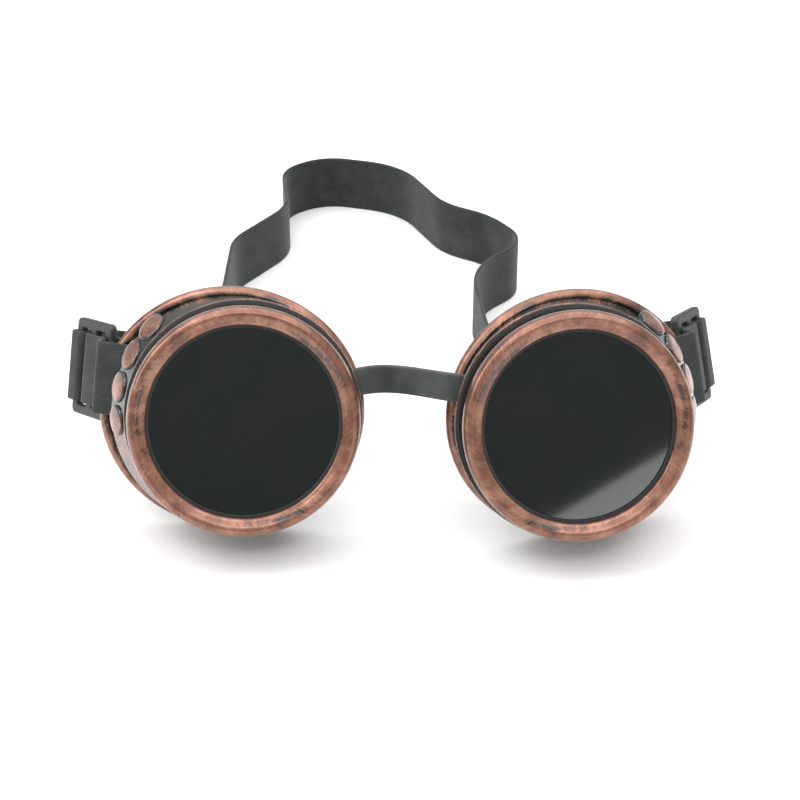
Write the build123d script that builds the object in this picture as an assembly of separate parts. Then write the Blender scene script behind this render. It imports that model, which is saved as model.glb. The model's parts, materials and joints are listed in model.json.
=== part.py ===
from build123d import *
import math
import os

# Round-lens cup goggles: two tilted eye cups joined by a nose band and an elastic headband.
# Each cup is drawn in its own frame: +X to the temple, +Y up, +Z out of the lens,
# with the centre of the lens ring's front at the origin. The left cup is the mirror image.

# Driving dimensions, in mm
LENS_R = 25.0
LENS_FIT = 0.25
STACK_PLAY = 0.02
DARK_T = 3.0
CLEAR_T = 1.5
FRONT_GASKET_T = 0.6
REAR_GASKET_T = 0.8
GASKET_W = 1.4

RING_R = 29.0
RING_SKIRT_R = 28.3
RING_OPENING_R = 24.3
RING_LIP = 2.4
RING_LIP_FRONT = 1.3
RING_CROWN_R = 26.3
RING_SHOULDER_R = 28.2
RING_SHOULDER_DEPTH = 0.9
RING_WIDEST_DEPTH = 2.9
RING_BEAD_BACK_R = 28.55
RING_BEAD_DEPTH = 5.4
RING_DEPTH = 8.4
THREAD_R = 27.2
THREAD_GAP = 0.3

FLANGE_R = 30.0
FLANGE_FRONT = -9.2
FLANGE_T = 1.2
SEAT_LIP_R = 23.4
WALL = 1.7
NECK_R = 27.6
WAIST_R = 28.4
WAIST_Z = -17.6
WAIST_WIDEN = 0.4
RIM_A = 32.4
RIM_B = 30.0
RIM_BEAD_R = 2.0
RIM_SHIFT = 3.2
RIM_Z = -25.0
RIM_SLOPE_DEG = 11.5

PANEL_FRONT_R = 29.7
PANEL_REAR_R = 33.2
PANEL_REAR_Z = -20.8
PANEL_FRONT_Z = -9.8
PANEL_TOP_X = 13.0
PANEL_SLOPE_DEG = 26.0
DISC_R = 4.0
DISC_PROUD = 0.6
DISC_ROOT = 1.0
DISC_Z = -15.4
DISC_ANGLES = (0.0, 15.5, 31.0, 46.5)

STRAP_W = 19.0
STRAP_T = 1.2
SLOT_ANGLE = 15.5
SLOT_R = 33.0
SLOT_W = 21.6
SLOT_Z = -24.4
SLOT_H = 6.6
SLOT_DEPTH = 14.0
STRAP_LEAN = 8.0

BUCKLE_W = 26.0
BUCKLE_BAR = 2.6
BUCKLE_WINDOW = 4.4
BUCKLE_WINDOW_W = 20.8
BUCKLE_T = 2.2
BUCKLE_CORNER = 1.6
BUCKLE_R = 40.4
BUCKLE_Z = -42.2
BUCKLE_TURN = 36.0
LAYER_GAP = 0.12
LAYER = BUCKLE_T / 2 + STRAP_T / 2 + LAYER_GAP
OUTER_LAYER = LAYER + STRAP_T + LAYER_GAP
BAR_PITCH = BUCKLE_BAR + BUCKLE_WINDOW
BAR_SIDE = BUCKLE_BAR / 2 + STRAP_T / 2 + LAYER_GAP
AROUND_OUTER_BAR = BAR_PITCH + BAR_SIDE
LEAD_END = -4.5
FOLD_END = -BAR_SIDE - 3.2
FOLD_END_OFF = 0.35
TACK_L = 1.3
TACK_W = 15.0
TACK_T = 0.35
TACK_ALONG = -BAR_SIDE - 2.4

# Side-view points (radius from the cup's axis, z) where the strap's pieces meet
RIM_PASS_R = 38.8
FOLD_START = (RIM_PASS_R, -32.0)
LEAD_START = (30.5, -36.2)
LOOP_BEND = 1.1
FOLD_BEND = 0.75
LEAD_BEND = 0.9

BAND_W = 7.3
BAND_T = 1.2
BAND_X = -28.3
BAND_Z = -14.4
BAND_SLOT_Y = 8.05
BAND_SLOT_W = 12.4
BAND_SLOT_T = 4.6
BAND_SLOT_DEPTH = 12.0
BAND_Y = {"left": 6.7, "right": 9.4}
BAND_RISE_DEG = {"left": 8.0, "right": 11.0}
BAND_TAB = 8.1
BAND_STRAIGHT = 2.2
STUD_INSET = 5.7
STUD_SHANK_R = 1.0
STUD_HEAD_R = 2.4
STUD_HEAD_T = 0.9
STUD_CHAMFER = 0.4

CUP_SPACING = 82.8
CUP_HEIGHT = 39.2
CUP_STAGGER = 2.3
CUP_TILT = 21.0
CUP_YAW = 6.0
HEADBAND_GAP = 3.0

os.makedirs("parts", exist_ok=True)


def revolved(points):
    """A solid of revolution about Z from a closed outline of (radius, z) points."""
    outline = make_face(Polyline([(r, 0, z) for r, z in points], close=True))
    return revolve(outline, Axis.Z)


def cylinder(radius, z_low, z_high):
    return Pos(0, 0, z_low) * extrude(Circle(radius), z_high - z_low)


def washer(outer, inner, z_low, z_high):
    return cylinder(outer, z_low, z_high) - cylinder(inner, z_low - 1, z_high + 1)


def lens_ring():
    """Screw ring: rounded bead in front, skirt behind, and a lip that holds the lenses."""
    lip_front = (RING_OPENING_R, 0, -RING_LIP_FRONT)
    crown_end = (RING_SHOULDER_R, 0, -RING_SHOULDER_DEPTH)
    bead_back = (RING_BEAD_BACK_R, 0, -RING_BEAD_DEPTH)
    front = Line((RING_OPENING_R, 0, -RING_LIP), lip_front)
    crown = ThreePointArc(lip_front, (RING_CROWN_R, 0, 0), crown_end)
    shoulder = ThreePointArc(crown_end, (RING_R, 0, -RING_WIDEST_DEPTH), bead_back)
    back = Polyline(
        [
            bead_back,
            (RING_SKIRT_R, 0, -RING_BEAD_DEPTH),
            (RING_SKIRT_R, 0, -RING_DEPTH),
            (THREAD_R, 0, -RING_DEPTH),
            (THREAD_R, 0, -RING_LIP),
            (RING_OPENING_R, 0, -RING_LIP),
        ]
    )
    return revolve(make_face([front, crown, shoulder, back]), Axis.Z)


def tilted_plane(x, z, slope):
    """A plane across the cup that falls away by slope degrees towards the temple."""
    tip = math.radians(slope)
    return Plane(
        origin=(x, 0, z),
        x_dir=(math.cos(tip), 0, -math.sin(tip)),
        z_dir=(math.sin(tip), 0, math.cos(tip)),
    )


def cup_section(share, a, b, z):
    """Ellipse across the cup, share of the way from the round neck to the sloping rim."""
    plane = tilted_plane(RIM_SHIFT * share, z, RIM_SLOPE_DEG * share)
    return plane * Ellipse(a / math.cos(math.radians(RIM_SLOPE_DEG * share)), b)


def trumpet(inset, z_front):
    """The cup's body between neck and rim, inset from its outer face."""
    neck = cup_section(0.0, NECK_R - inset, NECK_R - inset, z_front)
    waist = cup_section(0.5, WAIST_R + WAIST_WIDEN - inset, WAIST_R - inset, WAIST_Z)
    rim = cup_section(1.0, RIM_A + 0.5 - inset, RIM_B + 0.3 - inset, RIM_Z)
    return loft([neck, waist, rim])


def side_panel():
    """Raised panel on the temple side that carries the moulded discs."""
    cone = revolved(
        [
            (0, PANEL_FRONT_Z),
            (PANEL_FRONT_R, PANEL_FRONT_Z),
            (PANEL_REAR_R, PANEL_REAR_Z),
            (0, PANEL_REAR_Z),
        ]
    )
    keep = tilted_plane(PANEL_TOP_X, FLANGE_FRONT - FLANGE_T, PANEL_SLOPE_DEG)
    keep_box = keep * Pos(0, 0, 40) * Box(160, 160, 80)
    temple_box = Pos(40, 0, -15) * Box(80, 80, 40)
    return cone & keep_box & temple_box


def discs():
    widening = PANEL_REAR_R - PANEL_FRONT_R
    lean = math.degrees(math.atan(widening / (PANEL_FRONT_Z - PANEL_REAR_Z)))
    radius = PANEL_FRONT_R + widening / 2
    found = []
    for angle in DISC_ANGLES:
        seat = Rot(0, 0, angle) * Pos(radius, 0, DISC_Z) * Rot(0, 90 - lean, 0)
        root = seat * Pos(0, 0, -DISC_ROOT)
        found.append(root * extrude(Circle(DISC_R), DISC_ROOT + DISC_PROUD))
    return found


def eye_cup():
    """Moulded cup: threaded neck with the lens seat, thin flange, side panel and rolled rim."""
    stack = FRONT_GASKET_T + DARK_T + CLEAR_T + REAR_GASKET_T
    seat_floor = -RING_LIP - stack - 2 * STACK_PLAY
    neck_front = -RING_LIP - THREAD_GAP
    flange_back = FLANGE_FRONT - FLANGE_T
    body = trumpet(0, flange_back + 0.4)
    body += cylinder(THREAD_R - THREAD_GAP, flange_back, neck_front)
    body += cylinder(FLANGE_R, flange_back, FLANGE_FRONT)
    body += side_panel()
    for disc in discs():
        body += disc
    body -= trumpet(WALL, flange_back)
    rim_plane = tilted_plane(RIM_SHIFT, RIM_Z, RIM_SLOPE_DEG)
    rim_path = Ellipse(RIM_A / math.cos(math.radians(RIM_SLOPE_DEG)), RIM_B).edge()
    start = Plane(origin=rim_path @ 0, z_dir=rim_path % 0)
    bead = rim_plane * sweep(start * Circle(RIM_BEAD_R), path=rim_path)
    body += bead
    body -= cylinder(SEAT_LIP_R, flange_back - 0.5, 1)
    body -= cylinder(LENS_R + LENS_FIT, seat_floor, 1)
    slot = Rot(0, 0, SLOT_ANGLE) * Pos(SLOT_R, 0, SLOT_Z) * Box(SLOT_DEPTH, SLOT_W, SLOT_H)
    band_slot = Pos(BAND_X, BAND_SLOT_Y, BAND_Z) * Box(
        BAND_SLOT_DEPTH, BAND_SLOT_W, BAND_SLOT_T
    )
    return body - slot - band_slot


def strap_plane():
    """The strap's side view at the temple: x is outwards from the slot, y is the cup's Z."""
    spot = math.radians(SLOT_ANGLE)
    lean = math.radians(STRAP_LEAN)
    return Plane(
        origin=(SLOT_R * math.cos(spot), SLOT_R * math.sin(spot), 0),
        x_dir=(math.cos(lean), math.sin(lean), 0),
        z_dir=(math.sin(lean), -math.cos(lean), 0),
    )


def webbing(points, radius):
    """A strip of strap that follows a side-view route of (radius from cup axis, z) points."""
    route = FilletPolyline([(r - SLOT_R, z) for r, z in points], radius=radius)
    side_view = strap_plane() * trace(route, line_width=STRAP_T)
    return extrude(side_view, amount=STRAP_W / 2, both=True)


def beside_buckle(along, off):
    """Side-view point at a distance along the buckle from its centre bar, and off its plane."""
    turn = math.radians(BUCKLE_TURN)
    out = (math.sin(turn), -math.cos(turn))
    normal = (math.cos(turn), math.sin(turn))
    return (
        BUCKLE_R + along * out[0] + off * normal[0],
        BUCKLE_Z + along * out[1] + off * normal[1],
    )


def strap_loop():
    """The strap where it passes through the slot and round the inside of the rim."""
    points = [
        FOLD_START,
        (RIM_PASS_R, -28.6),
        (30.6, -24.6),
        (26.9, -23.6),
        (26.9, -35.6),
        LEAD_START,
    ]
    return webbing(points, LOOP_BEND)


def strap_fold():
    """The strap's sewn end: over the rim and the inner bar, and round the centre bar."""
    points = [
        FOLD_START,
        (RIM_PASS_R, -33.4),
        beside_buckle(-BAR_PITCH + 0.6, LAYER),
        beside_buckle(BAR_SIDE, LAYER),
        beside_buckle(BAR_SIDE, -LAYER),
        beside_buckle(-BAR_SIDE + 0.2, -LAYER),
        beside_buckle(-BAR_SIDE - 1.0, FOLD_END_OFF),
        beside_buckle(FOLD_END, FOLD_END_OFF),
    ]
    return webbing(points, FOLD_BEND)


def strap_lead():
    """The strap from behind the rim, under two bars, over the outer bar and back."""
    points = [
        LEAD_START,
        (32.4, -36.52),
        beside_buckle(3.8, -OUTER_LAYER),
        beside_buckle(4.5, LAYER),
        beside_buckle(AROUND_OUTER_BAR, LAYER),
        beside_buckle(AROUND_OUTER_BAR, LEAD_END),
    ]
    return webbing(points, LEAD_BEND)


def buckle_plane(along, off):
    """A plane beside the buckle: x along the strap, y across it, z off the buckle's face."""
    side = strap_plane()
    r, z = beside_buckle(along, off)
    turn = math.radians(BUCKLE_TURN)
    return Plane(
        origin=side.from_local_coords((r - SLOT_R, z, 0)),
        x_dir=side.x_dir * math.sin(turn) - side.y_dir * math.cos(turn),
        z_dir=side.x_dir * math.cos(turn) + side.y_dir * math.sin(turn),
    )


def buckle():
    """Three-bar slide with two windows and rounded corners."""
    length = 3 * BUCKLE_BAR + 2 * BUCKLE_WINDOW
    frame = RectangleRounded(length, BUCKLE_W, BUCKLE_CORNER)
    window = Rectangle(BUCKLE_WINDOW, BUCKLE_WINDOW_W)
    frame -= Pos(BAR_PITCH / 2, 0) * window
    frame -= Pos(-BAR_PITCH / 2, 0) * window
    return buckle_plane(0, 0) * extrude(frame, BUCKLE_T / 2, both=True)


def tack_stitch():
    """Bar tack that closes the sewn end, in the inner window."""
    below = FOLD_END_OFF - (STRAP_T + TACK_T) / 2 - LAYER_GAP / 4
    return buckle_plane(TACK_ALONG, below) * Box(TACK_L, TACK_W, TACK_T)


# Where the two cups stand
yaw = math.radians(CUP_YAW)
tilt = math.radians(CUP_TILT)
across = Vector(math.cos(yaw), math.sin(yaw), 0)
forward = Vector(math.sin(yaw) * math.cos(tilt), -math.cos(yaw) * math.cos(tilt), math.sin(tilt))
upward = forward.cross(across)
centres = {
    "left": Vector(-CUP_SPACING / 2, CUP_STAGGER / 2, CUP_HEIGHT),
    "right": Vector(CUP_SPACING / 2, -CUP_STAGGER / 2, CUP_HEIGHT),
}
temple_sign = {"left": -1, "right": 1}


def cup_point(side, x, y, z):
    """A point of a cup's own frame, in the frame of the whole object."""
    return centres[side] + across * (x * temple_sign[side]) + upward * y + forward * z


def placed(side, shape):
    if side == "left":
        shape = mirror(shape, about=Plane.YZ)
    return Plane(origin=centres[side], x_dir=across, z_dir=forward) * shape


def strip_section(centre, along, width_dir, width, thickness):
    """Rectangle across a strip, its long side as near to width_dir as the run allows."""
    along = along.normalized()
    width_dir = (width_dir - along * width_dir.dot(along)).normalized()
    return Plane(origin=centre, x_dir=width_dir, z_dir=along) * Rectangle(width, thickness)


def band_run(side):
    """Direction in which the nose band leaves a cup, towards the nose."""
    rise = math.radians(BAND_RISE_DEG[side])
    return across * (-temple_sign[side] * math.cos(rise)) + upward * math.sin(rise)


def band_point(side, distance):
    """A point of the nose band, at a distance towards the nose from the cup's wall."""
    return cup_point(side, BAND_X, BAND_Y[side], BAND_Z) + band_run(side) * distance


def nose_band():
    """Flat band that arches over the nose; its straight ends pass into the cups."""
    starts = {side: band_point(side, BAND_STRAIGHT) for side in centres}
    bridge = Spline(
        [starts["left"], starts["right"]],
        tangents=[band_run("left"), -band_run("right")],
    )
    sections = [
        strip_section(bridge @ share, bridge % share, upward, BAND_W, BAND_T)
        for share in (0.0, 0.25, 0.5, 0.75, 1.0)
    ]
    band = loft(sections)
    for side in centres:
        run = band_run(side)
        flat = strip_section(band_point(side, -BAND_TAB), run, upward, BAND_W, BAND_T)
        band += extrude(flat, amount=BAND_TAB + BAND_STRAIGHT + 0.02, dir=run)
        hole_plane = Plane(origin=band_point(side, -STUD_INSET), z_dir=forward)
        band -= hole_plane * extrude(Circle(STUD_SHANK_R), STUD_HEAD_R, both=True)
    return band


def band_stud(side):
    """Snap stud through the band's end, inside the cup, too wide to pass the slot."""
    plane = Plane(origin=band_point(side, -STUD_INSET), z_dir=forward)
    shank = extrude(Circle(STUD_SHANK_R), BAND_T / 2, both=True)
    head = Pos(0, 0, BAND_T / 2) * extrude(Circle(STUD_HEAD_R), STUD_HEAD_T)
    head = chamfer(head.faces().sort_by(Axis.Z)[-1].edges(), STUD_CHAMFER)
    return plane * (shank + head + mirror(head, about=Plane.XY))


# Where the headband stands on its edge, seen from above
BAND_ROUTE = [
    (-58.0, 108.0),
    (-58.0, 154.5),
    (-50.6, 166.5),
    (-41.3, 182.0),
    (-45.3, 214.5),
    (-30.6, 225.9),
    (-2.9, 217.7),
    (12.1, 183.1),
    (27.2, 173.9),
    (38.8, 153.8),
    (19.8, 132.8),
    (22.5, 98.0),
]


def largest_radii(route):
    radii = []
    for before, here, after in zip(route, route[1:], route[2:]):
        into = Vector(*here) - Vector(*before)
        out = Vector(*after) - Vector(*here)
        half_turn = math.radians(into.get_angle(out)) / 2
        radii.append(0.45 * min(into.length, out.length) / math.tan(half_turn))
    return radii


def drop_strip(side, foot, heading):
    """The headband from a buckle down to where it stands on its edge."""
    lead_end = cup_point(side, *buckle_plane(AROUND_OUTER_BAR, LEAD_END).origin)
    top = cup_point(side, *buckle_plane(AROUND_OUTER_BAR, LEAD_END - HEADBAND_GAP).origin)
    start_run = (top - lead_end).normalized()
    lean = math.radians(STRAP_LEAN)
    sign = temple_sign[side]
    top_width = upward * math.cos(lean) - across * (math.sin(lean) * sign)
    foot = Vector(foot[0], foot[1], STRAP_W / 2)
    reach = (foot - top).length
    curve = Bezier(
        top,
        top + start_run * (0.28 * reach),
        foot - heading * (0.5 * reach),
        foot,
    )
    sections = []
    for step in range(7):
        share = step / 6
        turn = share * share * (3 - 2 * share)
        width_dir = top_width * (1 - turn) + Vector(0, 0, 1) * turn
        run = heading if step == 6 else curve % share
        sections.append(strip_section(curve @ share, run, width_dir, STRAP_W, STRAP_T))
    return loft(sections)


def headband():
    route = FilletPolyline(BAND_ROUTE, radius=largest_radii(BAND_ROUTE))
    standing = extrude(trace(route, line_width=STRAP_T), STRAP_W)
    first = Vector(*BAND_ROUTE[1]) - Vector(*BAND_ROUTE[0])
    last = Vector(*BAND_ROUTE[-2]) - Vector(*BAND_ROUTE[-1])
    left = drop_strip("left", BAND_ROUTE[0], first.normalized())
    right = drop_strip("right", BAND_ROUTE[-1], last.normalized())
    return standing + left + right


# The pieces, each in its own node
stack_z = -RING_LIP - STACK_PLAY
front_gasket = washer(LENS_R, LENS_R - GASKET_W, stack_z - FRONT_GASKET_T, stack_z)
stack_z -= FRONT_GASKET_T
dark_lens = cylinder(LENS_R, stack_z - DARK_T, stack_z)
stack_z -= DARK_T
clear_lens = cylinder(LENS_R, stack_z - CLEAR_T, stack_z)
stack_z -= CLEAR_T
rear_gasket = washer(LENS_R, LENS_R - GASKET_W, stack_z - REAR_GASKET_T, stack_z)

local_pieces = {
    "eye_cup": eye_cup(),
    "lens_ring": lens_ring(),
    "front_gasket": front_gasket,
    "dark_lens": dark_lens,
    "clear_lens": clear_lens,
    "rear_gasket": rear_gasket,
    "strap_loop": strap_loop(),
    "strap_fold": strap_fold(),
    "strap_lead": strap_lead(),
    "buckle": buckle(),
    "tack_stitch": tack_stitch(),
}

pieces = {"headband": headband(), "nose_band": nose_band()}
for side in ("left", "right"):
    pieces[side + "_band_stud"] = band_stud(side)
    for name, shape in local_pieces.items():
        pieces[side + "_" + name] = placed(side, shape)

# The origin is the middle of the footprint, on the surface the goggles stand on
whole = Compound(children=[Compound(p.wrapped) for p in pieces.values()]).bounding_box()
shift = Vector(-(whole.min.X + whole.max.X) / 2, -(whole.min.Y + whole.max.Y) / 2, -whole.min.Z)
print("shift", tuple(shift), "size", whole.size)

for name, shape in pieces.items():
    export_step(Pos(shift) * shape, "parts/" + name + ".step")
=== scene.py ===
import json
import math

import bmesh
import bpy
from mathutils import Matrix, Vector


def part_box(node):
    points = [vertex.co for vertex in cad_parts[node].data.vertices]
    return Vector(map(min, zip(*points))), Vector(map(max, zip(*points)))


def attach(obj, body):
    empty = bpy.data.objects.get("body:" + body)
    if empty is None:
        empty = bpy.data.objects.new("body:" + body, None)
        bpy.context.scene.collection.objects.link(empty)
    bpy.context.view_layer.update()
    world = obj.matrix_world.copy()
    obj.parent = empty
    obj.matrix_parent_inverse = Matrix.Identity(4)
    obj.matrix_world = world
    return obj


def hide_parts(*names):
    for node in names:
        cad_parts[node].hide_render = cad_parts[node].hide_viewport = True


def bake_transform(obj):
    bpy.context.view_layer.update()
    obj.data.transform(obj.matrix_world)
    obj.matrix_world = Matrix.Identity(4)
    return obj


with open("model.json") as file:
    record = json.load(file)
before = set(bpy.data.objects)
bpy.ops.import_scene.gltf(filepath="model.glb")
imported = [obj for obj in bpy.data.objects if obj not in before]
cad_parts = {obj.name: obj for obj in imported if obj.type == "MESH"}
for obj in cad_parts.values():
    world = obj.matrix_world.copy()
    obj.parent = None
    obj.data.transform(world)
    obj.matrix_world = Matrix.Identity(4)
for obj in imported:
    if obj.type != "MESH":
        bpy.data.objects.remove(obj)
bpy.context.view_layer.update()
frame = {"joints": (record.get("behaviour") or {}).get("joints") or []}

MM = 0.001
SIDES = ("left", "right")
TEMPLE = {"left": -1, "right": 1}

# Sizes of the cups, in mm, in each cup's own frame: +X temple, +Y up, +Z out of the lens
OPENING_R = 24.3
BEAD_R = 29.0
SKIRT_R = 28.3
THREAD_R = 27.2
LIP_Z = -2.4
RING_BACK = -8.4
FLANGE_R = 30.0
FLANGE_FRONT = -9.2
FLANGE_BACK = -10.4
NECK_R = 26.9
WALL_R = 27.6
SEAT_R = 25.25
SEAT_Z = -8.34
STACK_TOP = -2.42
SEAT_LIP_R = 23.4
RIM_A = 32.4
RIM_B = 30.0
RIM_SHIFT = 3.2
RIM_Z = -25.0
RIM_SLOPE = math.tan(math.radians(11.5))
RIM_BEAD = 2.0
WALL_T = 1.7
PANEL_REAR_R = 34.6
PANEL_FRONT_R = 29.5
PANEL_X = 13.0
PANEL_SLOPE = math.tan(math.radians(26.0))
PANEL_MEAN_R = 31.2
PANEL_TAPER = (PANEL_REAR_R - PANEL_FRONT_R) / 11.0
PANEL_START_R = PANEL_FRONT_R + 0.15
WALL_TOP_Z = -10.0
WALL_END = 0.93
PITCH = 2.0
GLASS_R = 25.0
GASKET_HOLE_R = 23.6
DISC_ANGLES = (0.0, 15.5, 31.0, 46.5)
DISC_ALONG = 5.2
DISC_Z = -15.6
STRAP_SLOT = (14.0, 21.6, 6.4)
STRAP_SLOT_CORNER = 1.4
BAND_SLOT = (12.0, 12.4, 4.6)
BAND_SLOT_CORNER = 0.8
BAND_SLOT_Y = 8.05

STRAP_W = 19.0
STRAP_T = 1.2
BUCKLE_W = 26.0
BUCKLE_T = 2.2
BAR = 2.6
WINDOW = 4.4
WINDOW_W = 20.8
BUCKLE_R = 40.4
BUCKLE_Z = -42.2
BUCKLE_TURN = math.radians(36.0)
BUCKLE_CORNER = 1.6
WINDOW_CORNER = 0.5
BUCKLE_EDGE = 0.55
GAP = 0.12
LAYER = BUCKLE_T / 2 + STRAP_T / 2 + GAP
OUTER_LAYER = LAYER + STRAP_T + GAP
BAR_PITCH = BAR + WINDOW
BAR_SIDE = BAR / 2 + STRAP_T / 2 + GAP
AROUND = BAR_PITCH + BAR_SIDE
LEAD_END = -4.5
SLOT_R = 33.0
SLOT_Z = -24.4
SLOT_ANGLE = math.radians(15.5)
STRAP_LEAN = math.radians(8.0)
RIM_PASS_R = 38.8
FOLD_START = (RIM_PASS_R, -32.0)
LEAD_START = (30.5, -36.2)
LEAD_TAIL = 24.0
LOOP_BEND = 1.1
FOLD_BEND = 0.75
LEAD_BEND = 0.9
FOLD_END_OFF = 0.35
STITCHES = 19
STITCH_PITCH = 0.8
STITCH_FIRST_Y = -7.2
STITCH_LEAN = 0.32
STITCH_BOW = 0.14
THREAD_THICK_R = 0.16

BAND_W = 7.3
BAND_T = 1.2
BAND_X = -28.3
BAND_Z = -14.4
BAND_Y = {"left": 6.7, "right": 9.4}
BAND_RISE = {"left": math.radians(8.0), "right": math.radians(11.0)}
BAND_TAB = 8.1
STUD_INSET = 5.7
CURVE_STEPS = 60
BAND_STEPS = 40

# Where the headband stands on its edge, in mm from the point midway between the lens rings
BAND_ROUTE = [
    (-58.0, 108.0),
    (-58.0, 154.5),
    (-50.6, 166.5),
    (-41.3, 182.0),
    (-45.3, 214.5),
    (-30.6, 225.9),
    (-2.9, 217.7),
    (12.1, 183.1),
    (27.2, 173.9),
    (38.8, 153.8),
    (19.8, 132.8),
    (22.5, 98.0),
]


# The camera's place from the middle of the lens rings, in mm, and its tilt and focal length
CAMERA_PLACE = Vector((-3.0, -363.0, 217.0))
CAMERA_TILT = math.radians(60.0)
FOCAL_MM = 77.4
SENSOR_MM = 36.0


# ---------------------------------------------------------------- frames of reference
def joint(name):
    return next(j for j in frame["joints"] if j["name"] == name)


def cup_matrix(side):
    """From a cup's own frame in mm to the row frame in metres."""
    turn = joint(side + "_ring_turn")
    forward = Vector(turn["axis"])
    across = Vector((-forward.y, forward.x, 0)).normalized()
    upward = forward.cross(across)
    temple = across * TEMPLE[side]
    basis = Matrix((temple, upward, forward)).transposed() * MM
    return Matrix.Translation(Vector(turn["pos_m"])) @ basis.to_4x4()


CUP = {side: cup_matrix(side) for side in SIDES}


# ---------------------------------------------------------------- mesh helpers
def finish_mesh(name, bm, matrix, material, sharp=40.0):
    """Object in the row frame from a mesh in local mm; 'local' keeps the mm position."""
    bmesh.ops.remove_doubles(bm, verts=bm.verts, dist=0.0004)
    bmesh.ops.dissolve_degenerate(bm, dist=0.0004, edges=bm.edges)
    bmesh.ops.recalc_face_normals(bm, faces=bm.faces)
    mesh = bpy.data.meshes.new(name)
    bm.to_mesh(mesh)
    bm.free()
    keep = mesh.attributes.new("local", "FLOAT_VECTOR", "POINT")
    coords = [0.0] * (3 * len(mesh.vertices))
    mesh.vertices.foreach_get("co", coords)
    keep.data.foreach_set("vector", coords)
    mesh.transform(matrix)
    if matrix.determinant() < 0:
        mesh.flip_normals()
    mesh.shade_smooth()
    mesh.set_sharp_from_angle(angle=math.radians(sharp))
    mesh.materials.append(material)
    obj = bpy.data.objects.new(name, mesh)
    bpy.context.scene.collection.objects.link(obj)
    return obj


def arc(cx, cz, radius, start, stop, count):
    """Points of an arc about (cx, cz), angles in degrees from the +r direction."""
    found = []
    for i in range(count + 1):
        a = math.radians(start + (stop - start) * i / count)
        found.append((cx + radius * math.cos(a), cz + radius * math.sin(a)))
    return found


def spline(points, per_span=6):
    """Catmull-Rom curve through points, ends included."""
    padded = [points[0], *points, points[-1]]
    found = []
    for i in range(1, len(padded) - 2):
        p0, p1, p2, p3 = (Vector(p) for p in padded[i - 1 : i + 3])
        for k in range(per_span):
            t = k / per_span
            found.append(
                0.5
                * (
                    2 * p1
                    + (p2 - p0) * t
                    + (2 * p0 - 5 * p1 + 4 * p2 - p3) * t**2
                    + (3 * p1 - p0 - 3 * p2 + p3) * t**3
                )
            )
    found.append(Vector(points[-1]))
    return found


def bezier(controls, t):
    """Point at share t of a cubic curve."""
    u = 1 - t
    weights = (u**3, 3 * u * u * t, 3 * u * t * t, t**3)
    return sum((c * k for c, k in zip(controls, weights)), Vector())


def lathe(profile_at, segments=192, closed=True):
    """Surface from profile_at(angle) -> [(r, z), ...], turned about the local Z axis."""
    bm = bmesh.new()
    loops = []
    for i in range(segments):
        a = 2 * math.pi * i / segments
        cos, sin = math.cos(a), math.sin(a)
        loops.append([bm.verts.new((r * cos, r * sin, z)) for r, z in profile_at(a)])
    count = len(loops[0])
    for i in range(segments):
        here, there = loops[i], loops[(i + 1) % segments]
        for k in range(count if closed else count - 1):
            n = (k + 1) % count
            bm.faces.new((here[k], here[n], there[n], there[k]))
    return bm


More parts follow.
